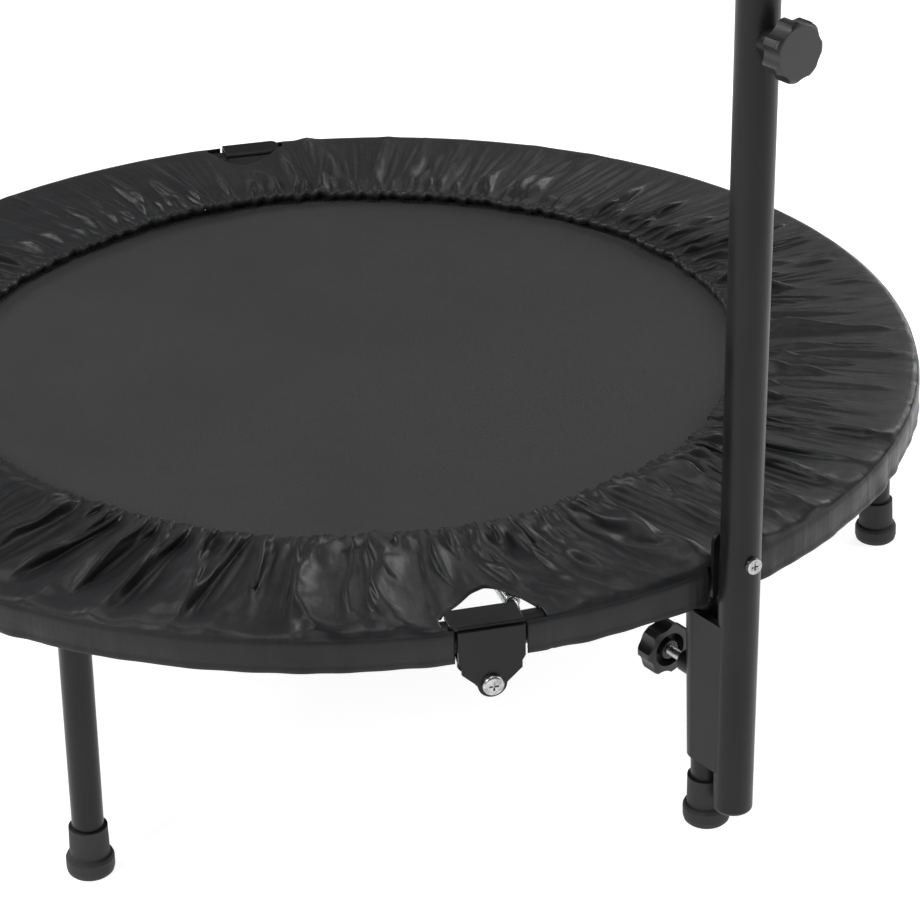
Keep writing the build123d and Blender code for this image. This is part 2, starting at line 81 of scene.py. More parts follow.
SPRING_COUNT = 32
FIRST_SPRING = radians(-86.5)
SPRING_COIL_R = 6.5 * MM
SPRING_WIRE_R = 1.1 * MM
SPRING_START = 397 * MM
SPRING_END = 465 * MM
SPRING_Z = RING_Z + TUBE_R * sin(radians(20))
MAT_RING_CENTRE_R = 383 * MM
MAT_RING_R = 7.5 * MM
MAT_RING_Z = -1.1 * MM
WEBBING_INNER_R = 350 * MM
STITCH_PITCH = 5 * MM
STITCH_LENGTH = 4 * MM
THREAD_R = 0.35 * MM
POST_AZIMUTH = radians(-67.5)


# ---------------------------------------------------------------- mesh helpers
def new_piece(name, points, faces, material, smooth=True):
    mesh = bpy.data.meshes.new(name)
    mesh.from_pydata([tuple(point) for point in points], [], [tuple(face) for face in faces])
    mesh.update()
    piece = bpy.data.objects.new(name, mesh)
    bpy.context.scene.collection.objects.link(piece)
    mesh.materials.append(material)
    if smooth:
        mesh.polygons.foreach_set("use_smooth", [True] * len(mesh.polygons))
    return piece


def polar(radius, azimuth, z=0.0):
    return Vector((radius * cos(azimuth), radius * sin(azimuth), z))


def smooth_step(value, low, high):
    share = np.clip((value - low) / (high - low), 0, 1)
    return share * share * (3 - 2 * share)


def angle_between(first, second):
    return (first - second + pi) % (2 * pi) - pi


def strip_faces(here, there, count):
    """The quads between two rings of points, each given by its first point's number."""
    following = [(step + 1) % count for step in range(count)]
    return [(here + step, here + following[step], there + following[step], there + step)
            for step in range(count)]


def swept_tube(path, radius, sides=8, closed=False, flat=1.0):
    """Points and faces of a round wire along a path, with parallel transported sections."""
    path = [Vector(point) for point in path]
    count = len(path)
    points = []
    normal = None
    for index in range(count):
        ahead = path[(index + 1) % count] if closed else path[min(index + 1, count - 1)]
        behind = path[index - 1] if closed or index else path[0]
        tangent = (ahead - behind).normalized()
        if normal is None:
            normal = tangent.orthogonal().normalized()
            if abs(tangent.z) < 0.9:
                normal = (Vector((0, 0, 1)) - tangent * tangent.z).normalized()
        normal = (normal - tangent * normal.dot(tangent)).normalized()
        side = tangent.cross(normal)
        for step in range(sides):
            turn = 2 * pi * step / sides
            points.append(path[index] + normal * (radius * flat * cos(turn)) + side * (radius * sin(turn)))
    faces = []
    for index in range(count if closed else count - 1):
        faces += strip_faces(index * sides, ((index + 1) % count) * sides, sides)
    if not closed:
        faces.append(tuple(reversed(range(sides))))
        faces.append(tuple((count - 1) * sides + step for step in range(sides)))
    return points, faces


def joined(parts):
    """One list of points and one of faces from several."""
    points = []
    faces = []
    for part_points, part_faces in parts:
        offset = len(points)
        points.extend(part_points)
        faces.extend([tuple(index + offset for index in face) for face in part_faces])
    return points, faces


def bend_over_fold(piece):
    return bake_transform(piece)


def spring_azimuths(half):
    """The azimuths of the springs on one half."""
    azimuths = [FIRST_SPRING + 2 * pi * index / SPRING_COUNT for index in range(SPRING_COUNT)]
    return [azimuth for azimuth in azimuths if (cos(azimuth) > 0) == (half == RIGHT)]


def sideways(azimuth):
    return Vector((-sin(azimuth), cos(azimuth), 0))


def make_for_halves(piece_name, node_name, material, make_part, smooth=True):
    """One piece for each half, with a part at every spring."""
    for half in (RIGHT, LEFT):
        points, faces = joined([make_part(azimuth) for azimuth in spring_azimuths(half)])
        side = half.split("_")[0]
        piece = new_piece(f"{side}_{piece_name}", points, faces, material, smooth)
        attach(piece, half)
        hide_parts(f"{side}_{node_name}")


# ---------------------------------------------------------------- materials
class Finish:
    """A Principled material with short calls for the textures that drive it."""

    def __init__(self, name, colour, roughness, metallic=0.0, specular=0.5):
        self.material = bpy.data.materials.new(name)
        self.material.use_nodes = True
        self.nodes = self.material.node_tree.nodes
        self.links = self.material.node_tree.links
        self.shader = self.nodes["Principled BSDF"]
        self.shader.inputs["Base Color"].default_value = (*colour, 1)
        self.shader.inputs["Roughness"].default_value = roughness
        self.shader.inputs["Metallic"].default_value = metallic
        self.shader.inputs["Specular IOR Level"].default_value = specular
        self.place = self.nodes.new("ShaderNodeTexCoord").outputs["Object"]
        self.heights = []

    def stretched(self, scale):
        mapping = self.nodes.new("ShaderNodeMapping")
        mapping.inputs["Scale"].default_value = scale
        self.links.new(self.place, mapping.inputs["Vector"])
        return mapping.outputs["Vector"]

    def radial(self, scale):
        """Azimuth and radius round the vertical axis, scaled, for creases that run in and out."""
        split = self.nodes.new("ShaderNodeSeparateXYZ")
        self.links.new(self.place, split.inputs["Vector"])
        azimuth = self.maths("ARCTAN2", split.outputs["Y"], split.outputs["X"])
        squares = self.maths("ADD", self.maths("MULTIPLY", split.outputs["X"], split.outputs["X"]),
                             self.maths("MULTIPLY", split.outputs["Y"], split.outputs["Y"]))
        joined_up = self.nodes.new("ShaderNodeCombineXYZ")
        self.links.new(self.maths("MULTIPLY", azimuth, scale[0]), joined_up.inputs["X"])
        self.links.new(self.maths("MULTIPLY", self.maths("SQRT", squares, 0.0), scale[1]),
                       joined_up.inputs["Y"])
        return joined_up.outputs["Vector"]

    def noise(self, scale, detail=3.0, rough=0.5, vector=None):
        node = self.nodes.new("ShaderNodeTexNoise")
        node.inputs["Scale"].default_value = scale
        node.inputs["Detail"].default_value = detail
        node.inputs["Roughness"].default_value = rough
        self.links.new(vector or self.place, node.inputs["Vector"])
        return node.outputs["Fac"]

    def cells(self, scale):
        node = self.nodes.new("ShaderNodeTexVoronoi")
        node.inputs["Scale"].default_value = scale
        self.links.new(self.place, node.inputs["Vector"])
        return node.outputs["Distance"]

    def bands(self, pitch, direction):
        node = self.nodes.new("ShaderNodeTexWave")
        node.wave_type = "BANDS"
        node.bands_direction = direction
        node.inputs["Scale"].default_value = pi / (10 * pitch)
        node.inputs["Distortion"].default_value = 0.0
        self.links.new(self.place, node.inputs["Vector"])
        return node.outputs["Fac"]

    def maths(self, operation, first, second):
        node = self.nodes.new("ShaderNodeMath")
        node.operation = operation
        for socket, value in zip(node.inputs, (first, second)):
            if isinstance(value, (int, float)):
                socket.default_value = value
            else:
                self.links.new(value, socket)
        return node.outputs["Value"]

    def ranged(self, factor, low, high, start=0.3, end=0.7):
        node = self.nodes.new("ShaderNodeMapRange")
        node.inputs["From Min"].default_value = start
        node.inputs["From Max"].default_value = end
        node.inputs["To Min"].default_value = low
        node.inputs["To Max"].default_value = high
        self.links.new(factor, node.inputs["Value"])
        return node.outputs["Result"]

    def colour_between(self, factor, dark, light, start=0.3, end=0.7):
        node = self.nodes.new("ShaderNodeValToRGB")
        node.color_ramp.elements[0].position = start
        node.color_ramp.elements[0].color = (*dark, 1)
        node.color_ramp.elements[1].position = end
        node.color_ramp.elements[1].color = (*light, 1)
        self.links.new(factor, node.inputs["Fac"])
        self.links.new(node.outputs["Color"], self.shader.inputs["Base Color"])

    def roughness_between(self, factor, low, high, start=0.3, end=0.7):
        self.links.new(self.ranged(factor, low, high, start, end), self.shader.inputs["Roughness"])

    def raised(self, height, distance, strength=1.0):
        """Add a bump layer: height from 0 to 1 stands distance metres high."""
        self.heights.append((height, distance, strength))

    def done(self):
        normal = None
        for height, distance, strength in self.heights:
            bump = self.nodes.new("ShaderNodeBump")
            bump.inputs["Strength"].default_value = strength
            bump.inputs["Distance"].default_value = distance
            self.links.new(height, bump.inputs["Height"])
            if normal is not None:
                self.links.new(normal, bump.inputs["Normal"])
            normal = bump.outputs["Normal"]
        if normal is not None:
            self.links.new(normal, self.shader.inputs["Normal"])
        return self.material


def powder_coat():
    finish = Finish("powder_coat_black", (0.008, 0.008, 0.009), 0.36, specular=0.23)
    smudges = finish.noise(14, detail=4)
    finish.colour_between(smudges, (0.006, 0.006, 0.007), (0.012, 0.012, 0.0125))
    finish.roughness_between(smudges, 0.27, 0.42)
    finish.raised(finish.noise(650, detail=2), 0.00012, 0.5)
    finish.raised(finish.noise(90, detail=2), 0.0002, 0.25)
    return finish.done()


def zinc_plate():
    finish = Finish("zinc_plate", (0.60, 0.60, 0.59), 0.3, metallic=1.0)
    clouds = finish.noise(260, detail=4)
    finish.colour_between(clouds, (0.26, 0.26, 0.27), (0.60, 0.59, 0.57))
    finish.roughness_between(clouds, 0.2, 0.42)
    finish.raised(finish.noise(1400, detail=2), 0.00005, 0.4)
    return finish.done()


def spring_wire():
    finish = Finish("spring_steel", (0.52, 0.53, 0.55), 0.25, metallic=1.0)
    clouds = finish.noise(180, detail=4)
    finish.colour_between(clouds, (0.36, 0.37, 0.39), (0.66, 0.66, 0.66))
    finish.roughness_between(clouds, 0.18, 0.36)
    finish.raised(finish.noise(2200, detail=1), 0.00003, 0.4)
    return finish.done()


def woven_mat():
    """A tight plain weave of flat polypropylene yarns, 1.4 mm apart."""
    finish = Finish("woven_mat", (0.03, 0.03, 0.031), 0.72, specular=0.35)
    warp = finish.bands(1.4 * MM, "X")
    weft = finish.bands(1.4 * MM, "Y")
    weave = finish.maths("ADD", finish.maths("MULTIPLY", warp, 0.5), finish.maths("MULTIPLY", weft, 0.5))
    tone = finish.maths("MULTIPLY_ADD", weave, 0.35)
    clouds = finish.noise(5, detail=5, rough=0.6)
    yarns = finish.noise(1.0, detail=2, vector=finish.stretched((40, 900, 1)))
    mixed = finish.maths("ADD", finish.maths("MULTIPLY", clouds, 0.45), finish.maths("MULTIPLY", yarns, 0.30))
    mixed = finish.maths("ADD", mixed, finish.maths("MULTIPLY", tone, 0.25))
    finish.colour_between(mixed, (0.020, 0.020, 0.021), (0.036, 0.036, 0.037), 0.3, 0.75)
    finish.roughness_between(clouds, 0.62, 0.8)
    finish.raised(weave, 0.00025, 0.6)
    return finish.done()


def woven_webbing():
    finish = Finish("webbing", (0.02, 0.02, 0.02), 0.7, specular=0.3)
    ribs = finish.bands(2.0 * MM, "X")
    cross = finish.bands(2.0 * MM, "Y")
    weave = finish.maths("MULTIPLY", ribs, cross)
    finish.colour_between(finish.maths("ADD", weave, finish.noise(60)), (0.012, 0.012, 0.012),
                          (0.034, 0.034, 0.034), 0.4, 1.2)
    finish.roughness_between(finish.noise(40), 0.6, 0.82)
    finish.raised(weave, 0.0004, 0.8)
    return finish.done()


def satin_nylon():
    """Coated black nylon: a fine plain weave under a satin face, with small puckers."""
    finish = Finish("satin_nylon", (0.0145, 0.015, 0.0165), 0.45, specular=0.24)
    finish.shader.inputs["Sheen Weight"].default_value = 0.03
    finish.shader.inputs["Sheen Roughness"].default_value = 0.4
    clouds = finish.noise(12, detail=5, rough=0.6)
    finish.colour_between(clouds, (0.011, 0.0113, 0.0125), (0.0185, 0.019, 0.0205))
    finish.roughness_between(finish.noise(38, detail=4), 0.36, 0.5)
    warp = finish.bands(0.8 * MM, "X")
    weft = finish.bands(0.8 * MM, "Y")
    finish.raised(finish.maths("MULTIPLY", warp, weft), 0.0001, 0.3)
    finish.raised(finish.noise(2.4, detail=2, rough=0.5, vector=finish.radial((12, 8))), 0.003, 0.55)
    finish.raised(finish.noise(48, detail=4, rough=0.55), 0.0016, 0.42)
    return finish.done()


def thread():
    finish = Finish("sewing_thread", (0.03, 0.03, 0.032), 0.6)
    twist = finish.noise(1500, detail=1)
    finish.colour_between(twist, (0.018, 0.018, 0.02), (0.05, 0.05, 0.053))
    finish.roughness_between(twist, 0.5, 0.7)
    finish.raised(twist, 0.0001, 0.6)
    return finish.done()


def elastic():
    finish = Finish("elastic_cord", (0.02, 0.02, 0.02), 0.75)
    braid = finish.noise(900, detail=2)
    finish.colour_between(braid, (0.012, 0.012, 0.012), (0.04, 0.04, 0.04))
    finish.roughness_between(braid, 0.65, 0.85)
    finish.raised(braid, 0.0003, 0.8)
    return finish.done()


def rubber():
    finish = Finish("foot_rubber", (0.016, 0.016, 0.016), 0.62, specular=0.4)
    dust = finish.noise(45, detail=5, rough=0.65)
    finish.colour_between(dust, (0.011, 0.011, 0.011), (0.026, 0.026, 0.025))
    finish.roughness_between(dust, 0.52, 0.76)
    finish.raised(finish.noise(700, detail=3), 0.0002, 0.45)
    return finish.done()


def foam():
    finish = Finish("grip_foam", (0.018, 0.018, 0.018), 0.9, specular=0.25)
    pores = finish.cells(850)
    finish.colour_between(pores, (0.006, 0.006, 0.006), (0.026, 0.026, 0.026), 0.05, 0.6)
    finish.roughness_between(finish.noise(60), 0.82, 0.95)
    finish.raised(pores, 0.0007, 0.8)
    return finish.done()


def plastic():
    finish = Finish("moulded_plastic", (0.014, 0.014, 0.014), 0.4)
    haze = finish.noise(30, detail=4)
    finish.colour_between(haze, (0.011, 0.011, 0.011), (0.020, 0.020, 0.020))
    finish.roughness_between(haze, 0.32, 0.5)
    finish.raised(finish.noise(1300, detail=2), 0.00015, 0.5)
    return finish.done()


COAT = powder_coat()
ZINC = zinc_plate()
WIRE = spring_wire()
MAT = woven_mat()
WEBBING = woven_webbing()
NYLON = satin_nylon()
THREAD = thread()
ELASTIC = elastic()
RUBBER = rubber()
FOAM = foam()
PLASTIC = plastic()

NODE_FINISHES = {
    "nut": ZINC, "bolt": ZINC, "knob_screw": ZINC, "knob": PLASTIC, "spacer": PLASTIC, "bushing": PLASTIC,
    "cap": PLASTIC, "foam_grip": FOAM, "foot": RUBBER, "springs": WIRE, "mat_rings": WIRE, "tabs": WEBBING,
    "webbing": WEBBING, "elastic": ELASTIC, "cover": NYLON,
}


def finish_of(node_name):
    if node_name in ("right_mat", "left_mat"):
        return MAT
    for word, finish in NODE_FINISHES.items():
        if word in node_name:
            return finish
    return COAT


def dress_cad_nodes():
    for name, node in frame["nodes"].items():
        finish = finish_of(name)
        if not node.material_slots:
            node.data.materials.append(finish)
        for material_slot in node.material_slots:
            material_slot.material = finish


# ---------------------------------------------------------------- jumping mat
def make_mat():
    """One woven disc across both halves, on a grid that is finer near the fold line."""
    fold_lines = np.arange(-20, 20.1, 4) * MM
    outer_lines = MAT_R * np.sin(np.linspace(radians(4), radians(89.6), 36))
    lines = np.concatenate([-outer_lines[::-1], fold_lines, outer_lines])
    steps = np.sin(np.linspace(-pi / 2, pi / 2, 81))
    points = []
    for layer in (0, 1):
        for x in lines:
            reach = sqrt(max(MAT_R * MAT_R - x * x, 0))
            for step in steps:
                y = reach * step
                sag = 1.6 * MM * (1 - (x * x + y * y) / (MAT_R * MAT_R))
                ripple = 0.25 * MM * sin(31 * x + 2 * y) * sin(23 * y - 5 * x)
                points.append((x, y, -sag + ripple - layer * MAT_THICKNESS))
    across = len(steps)
    per_layer = across * len(lines)
    faces = []
    for column in range(len(lines) - 1):
        for row in range(across - 1):
            start = column * across + row
            quad = (start, start + across, start + across + 1, start + 1)
            faces.append(quad)
            faces.append(tuple(index + per_layer for index in reversed(quad)))
    rim = [column * across for column in range(len(lines))]
    rim += [(len(lines) - 1) * across + row for row in range(1, across)]
    rim += [column * across + across - 1 for column in range(len(lines) - 2, -1, -1)]
    rim += list(range(across - 2, 0, -1))
    for index, here in enumerate(rim):
        there = rim[(index + 1) % len(rim)]
        faces.append((here, here + per_layer, there + per_layer, there))
    mat = new_piece("jumping_mat", points, faces, MAT)
    bend_over_fold(mat)
    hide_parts("right_mat", "left_mat")
    return mat


def make_webbing():
    """The band of webbing that is sewn under the mat's edge."""
    inner, outer = WEBBING_INNER_R, MAT_R
    low, high = webbing_low.z, webbing_high.z
    bulge = 0.6 * MM
    half = 0.9 * MM
    section = [(inner, low), (outer, low), (outer + bulge, low + half),
               (outer, high), (inner, high), (inner - bulge, high - half)]
    corners = len(section)
    count = 540
    points = []
    for index in range(count):
        azimuth = 2 * pi * index / count
        points += [polar(radius, azimuth, z - 0.1 * MM) for radius, z in section]
    faces = []
    for index in range(count):
        here = index * corners
        there = ((index + 1) % count) * corners
        for side in range(corners):
            following = (side + 1) % corners
            faces.append((here + side, there + side, there + following, here + following))
    band = new_piece("mat_edge_webbing", points, faces, WEBBING)
    bend_over_fold(band)
    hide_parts("right_mat_webbing", "left_mat_webbing")
    return band


def stitch_row(radius, z):
    """Short raised stitches round a circle."""
    count = int(2 * pi * radius / STITCH_PITCH)
    profile = ((-1, -THREAD_R), (-0.6, 0.2 * THREAD_R), (0.6, 0.2 * THREAD_R), (1, -THREAD_R))
    rows = []
    for index in range(count):
        middle = 2 * pi * index / count
        span = STITCH_LENGTH / radius / 2
        path = [polar(radius, middle + share * span, z + lift) for share, lift in profile]
        rows.append(swept_tube(path, THREAD_R, sides=5))
    return joined(rows)


def make_mat_stitches():
    """Two rows of stitches along the webbing, seen on the mat's top and on the webbing's underside."""
    proud = 0.15 * MM
    radii = (354 * MM, 367 * MM)
    heights = (proud, webbing_low.z - proud)
    points, faces = joined([stitch_row(radius, z) for z in heights for radius in radii])
    stitches = new_piece("mat_stitches", points, faces, THREAD)
    return bend_over_fold(stitches)


def tab_outline():
    """Section of one webbing loop as (radius, height): round the ring's wire and back to the mat's edge."""
    inside_r = 2.1 * MM
    outside_r = inside_r + 0.7 * MM
    centre = MAT_RING_CENTRE_R - MAT_RING_R
    arc = [radians(angle) for angle in range(-80, 81, 20)]
    outside = [(centre + outside_r * cos(turn), MAT_RING_Z + outside_r * sin(turn)) for turn in arc]
    inside = [(centre + inside_r * cos(turn), MAT_RING_Z + inside_r * sin(turn)) for turn in reversed(arc)]
    root = MAT_R - 9 * MM
    upper = [(root, 1.1 * MM), (root, 0.35 * MM)]
    return [(root, -4.3 * MM)] + outside + upper + inside + [(root, -3.6 * MM)]


def make_tabs():
    """A loop of webbing round each steel ring's wire, sewn to the mat's edge."""
    outline = tab_outline()
    size = len(outline)
    offsets = (-9 * MM, -3 * MM, 3 * MM, 9 * MM)
    last = len(offsets) - 1

    def tab(azimuth):
        across = sideways(azimuth)
        points = [polar(radius, azimuth, z) + across * offset for offset in offsets for radius, z in outline]
        faces = [tuple(reversed(range(size))), tuple(last * size + step for step in range(size))]
        for strip in range(last):
            faces += strip_faces(strip * size, (strip + 1) * size, size)
        return points, faces

    make_for_halves("webbing_loops", "mat_tabs", WEBBING, tab, smooth=False)


# ---------------------------------------------------------------- springs
INNER_HOOK = [(386.9, -5.2), (386.6, -2.6), (387.0, 0.2), (388.9, 2.0), (391.6, 2.6), (394.6, 2.4)]
OUTER_HOOK = [(468.0, 5.4), (471.5, 6.0), (475.2, 5.4), (478.3, 3.0), (480.3, 0.4), (483.5, -0.4),
              (486.5, -0.6)]


def spring_path():
    """The wire's centre line from hook to hook, as (radius, across, height)."""
    coil = SPRING_COIL_R - SPRING_WIRE_R
    turns = 28
    steps = 14
    path = [(radius * MM, 0, height * MM) for radius, height in INNER_HOOK]
    length = SPRING_END - SPRING_START - 2 * SPRING_WIRE_R
    for step in range(turns * steps + 1):
        turn = 2 * pi * step / steps + pi / 2
        along = SPRING_START + SPRING_WIRE_R + length * step / (turns * steps)
        path.append((along, coil * cos(turn), SPRING_Z + coil * sin(turn)))
    return path + [(radius * MM, 0, height * MM) for radius, height in OUTER_HOOK]


def make_springs():
    path = spring_path()

    def spring(azimuth):
        across = sideways(azimuth)
        wire = [polar(radius, azimuth, height) + across * offset for radius, offset, height in path]
        return swept_tube(wire, SPRING_WIRE_R, sides=6)

    make_for_halves("coil_springs", "springs", WIRE, spring)


# ---------------------------------------------------------------- gathered spring cover
COVER_COLUMNS = 1760
PANEL_ROWS = 36
RIM_ROWS = 9
SKIRT_ROWS = 9
CASING_ROWS = 9
FABRIC = 0.9 * MM
CASING_R = 3.3 * MM
RIM_START_ROW = CASING_ROWS + PANEL_ROWS
PANEL_EDGE_R = RING_R
CUT_LIMIT_R = PANEL_EDGE_R - 0.5 * MM
RIM_TOP_Z = RING_Z + TUBE_R + 1.7 * MM
HEM_BASE_Z = HEM_Z - 2.6 * MM
ELASTIC_PULL = 0.8 * MM
RIM_OUT_R = COVER_R - 0.3 * MM
NOTCH_LEFT = -34 * MM
NOTCH_RIGHT = 40 * MM
NOTCH_TOP_X = 10 * MM
NOTCH_TOP_R = 450 * MM
SKIRT_GAP = (-27.5 * MM, 27.5 * MM)
UPRIGHT_SEAM_X = 47 * MM
SEAM_ROW = 3
BRACKET_HALF = 13.5 * MM

columns = np.arange(COVER_COLUMNS)
column_azimuth = 2 * pi * (columns + 0.5) / COVER_COLUMNS


def fold_side_x(radius):
    """x of each column at a radius, turned so that both notches look like the front one."""
    x = radius * np.cos(column_azimuth)
    return np.where(np.sin(column_azimuth) < 0, x, -x)


def panel_outer_radius():
    """Where the top panel ends: at the rim, or at the arched edge of a notch."""
    x = fold_side_x(470 * MM)
    left = NOTCH_TOP_R + 41 * MM * np.clip((NOTCH_TOP_X - x) / (NOTCH_TOP_X - NOTCH_LEFT), 0, 1) ** 1.5
    right = NOTCH_TOP_R + 43 * MM * np.clip((x - NOTCH_TOP_X) / (NOTCH_RIGHT - NOTCH_TOP_X), 0, 1) ** 2.2
    arch = np.where(x < NOTCH_TOP_X, left, right)
    inside = (x > NOTCH_LEFT) & (x < NOTCH_RIGHT)
    return np.where(inside, np.minimum(arch, PANEL_EDGE_R), PANEL_EDGE_R)


def ring_wave(azimuth, generator, low, high, fade=0.8):
    """A smooth random wave that closes on itself round the ring, about 1 high."""
    total = np.zeros_like(azimuth)
    weight = 0.0
    for count in range(low, high + 1):
        size = generator.uniform(0.4, 1.0) / count ** fade
        total += size * np.sin(count * azimuth + generator.uniform(0, 2 * pi))
        weight += size * size / 2
    return total / sqrt(weight)


def uneven_positions(count, generator, unevenness):
    """Azimuths round the ring with uneven gaps."""
    gaps = 1 + unevenness * generator.uniform(-1, 1, count)
    return 2 * pi * np.cumsum(gaps) / gaps.sum()


def nearest(positions, targets):
    away = np.abs(angle_between(positions[:, None], targets[None, :]))
    return targets[away.argmin(axis=1)]


def add_ridges(height, azimuth, depth, radius, starts, ends, spans, sizes, widths):
    """Add folds that start at one azimuth near the hem and drift to another further out."""
    for start, end, span, size, width in zip(starts, ends, spans, sizes, widths):
        first, full, last, gone = span
        drift = smooth_step(depth, first, gone)
        centre = start + angle_between(end, start) * drift
        away = angle_between(azimuth, centre) * radius
        local = width * (1 + 1.2 * depth)
        strength = smooth_step(depth, first - 0.001, full) * (1 - smooth_step(depth, last, gone))
        near = np.abs(away) < 3.2 * local
        crest = size * np.exp(-np.abs(away[near] / local[near]) ** 1.5)
        height[near] += crest * strength[near]


def drawn_to_post(azimuth):
    """How far folds beside the handle are pulled round towards its bracket, in radians."""
    return 0.17 * np.exp(-(angle_between(azimuth, radians(-80)) / radians(13)) ** 2)


def gather_heights(azimuth, depth, radius):
    """The folds of the gathered panel: fine at the hem, merging into wider ones outwards."""
    generator = np.random.default_rng(41)
    height = np.zeros_like(depth)
    fine = uneven_positions(240, generator, 0.45)
    middle = uneven_positions(150, generator, 0.55)
    wide = uneven_positions(84, generator, 0.6)
    fine_ends = nearest(fine, middle)
    middle_ends = nearest(middle, wide)
    front = np.clip(-np.sin(wide + radians(22)), 0, 1)
    front_middle = np.clip(-np.sin(middle + radians(22)), 0, 1)

    reach = generator.uniform(0.2, 0.5, len(fine))
    spans = [(-0.2, -0.1, 0.35 * end, end) for end in reach]
    sizes = generator.uniform(3.0, 5.4, len(fine)) * MM
    widths = generator.uniform(2.3, 3.3, len(fine)) * MM
    add_ridges(height, azimuth, depth, radius, fine, fine_ends, spans, sizes, widths)

    reach = generator.uniform(0.5, 0.9, len(middle)) + 0.3 * front_middle
    spans = [(0.02, 0.16, 0.55 * end, end) for end in reach]
    sizes = generator.uniform(3.4, 7.0, len(middle)) * (0.75 + 0.6 * front_middle) * MM
    widths = generator.uniform(3.2, 5.8, len(middle)) * MM
    add_ridges(height, azimuth, depth, radius, middle, middle_ends, spans, sizes, widths)

    reach = np.clip(1.1 + 0.35 * front + generator.uniform(-0.12, 0.2, len(wide)), 0.6, 1.6)
    ends = wide + generator.uniform(-1, 1, len(wide)) * (0.03 + 0.05 * front) + drawn_to_post(wide)
    spans = [(0.08, 0.3, 0.55 * end, end) for end in reach]
    sizes = generator.uniform(5.5, 10.5, len(wide)) * (0.72 + 0.45 * front) * MM
    widths = generator.uniform(4.5, 8.5, len(wide)) * MM
    add_ridges(height, azimuth, depth, radius, wide, ends, spans, sizes, widths)

    taut = uneven_positions(250, generator, 0.6)
    side = np.clip(np.cos(taut + radians(5)), 0, 1) ** 0.7
    spans = [(0.05, 0.25, generator.uniform(0.6, 0.95), generator.uniform(0.98, 1.25)) for _ in taut]
    sizes = generator.uniform(0.5, 2.6, len(taut)) * (0.25 + 1.15 * side) * MM
    widths = generator.uniform(2.0, 3.6, len(taut)) * MM
    ends = taut + generator.uniform(-0.025, 0.025, len(taut)) + 0.6 * drawn_to_post(taut)
    add_ridges(height, azimuth, depth, radius, taut, ends, spans, sizes, widths)

    # The two big folds on either side of the deep valley left of each notch.
    for turned in (0, pi):
        starts = np.radians([-97.8, -92.6]) + turned
        ends = np.radians([-97.2, -93.4]) + turned
        spans = [(-0.2, 0.05, 0.95, 1.1), (-0.2, 0.05, 0.9, 1.05)]
        add_ridges(height, azimuth, depth, radius, starts, ends, spans, [7.5 * MM, 6 * MM], [5 * MM, 4 * MM])
    return height


def make_panel_grid():
    """The top panel before it settles, as arrays of radius, azimuth and height."""
    generator = np.random.default_rng(7)
    rows = np.linspace(0, 1, PANEL_ROWS) ** 1.12
    hem = HEM_R + CORD_R + 1.2 * MM + 2.0 * MM * ring_wave(column_azimuth, generator, 3, 14)
    hem = hem + 0.7 * MM * ring_wave(column_azimuth, generator, 20, 60, 0.3)
    outer = panel_outer_radius()
    radius = hem[None, :] + (outer - hem)[None, :] * rows[:, None]
    depth = (radius - hem[None, :]) / (PANEL_EDGE_R - hem[None, :])
    azimuth = np.repeat(column_azimuth[None, :], PANEL_ROWS, axis=0)
    sway = 0.006 * np.sin(9 * azimuth + 5 * depth) * np.sin(pi * depth)
    folds = gather_heights(azimuth + sway, depth, radius)
    base = HEM_BASE_Z * (1 - depth) + RIM_TOP_Z * depth - 2.2 * MM * np.sin(pi * depth) ** 0.8
    hold = 1 - 0.4 * smooth_step(depth, 0.92, 1.0)
    side_x = fold_side_x(PANEL_EDGE_R)
    near_notch = smooth_step(side_x, -58 * MM, -38 * MM) * (1 - smooth_step(side_x, 42 * MM, 62 * MM))
    hold = hold * (1 - 0.85 * smooth_step(rows, 0.45, 1.0)[:, None] * near_notch[None, :])
    hem_share = 1 - smooth_step(depth, 0.0, 0.12)
    height = base + folds * hold * (1 - 0.45 * hem_share)
    lift = 0.8 * MM * ring_wave(column_azimuth, generator, 2, 12)
    height += lift[None, :] * (1 - smooth_step(depth, 0, 0.5))
    lean = np.clip(ring_wave(column_azimuth, generator, 3, 11), -1, 1)
    azimuth = azimuth + 0.75 * lean[None, :] * folds * hold / radius
    return radius, azimuth, height


def grid_faces(rows, count, present=None):
    faces = []
    for row in range(rows - 1):
        for column in range(count):
            following = (column + 1) % count
            if present is not None and not present[row:row + 2, [column, following]].all():
                continue
            faces.append((row * count + column, row * count + following,
                          (row + 1) * count + following, (row + 1) * count + column))
    return faces


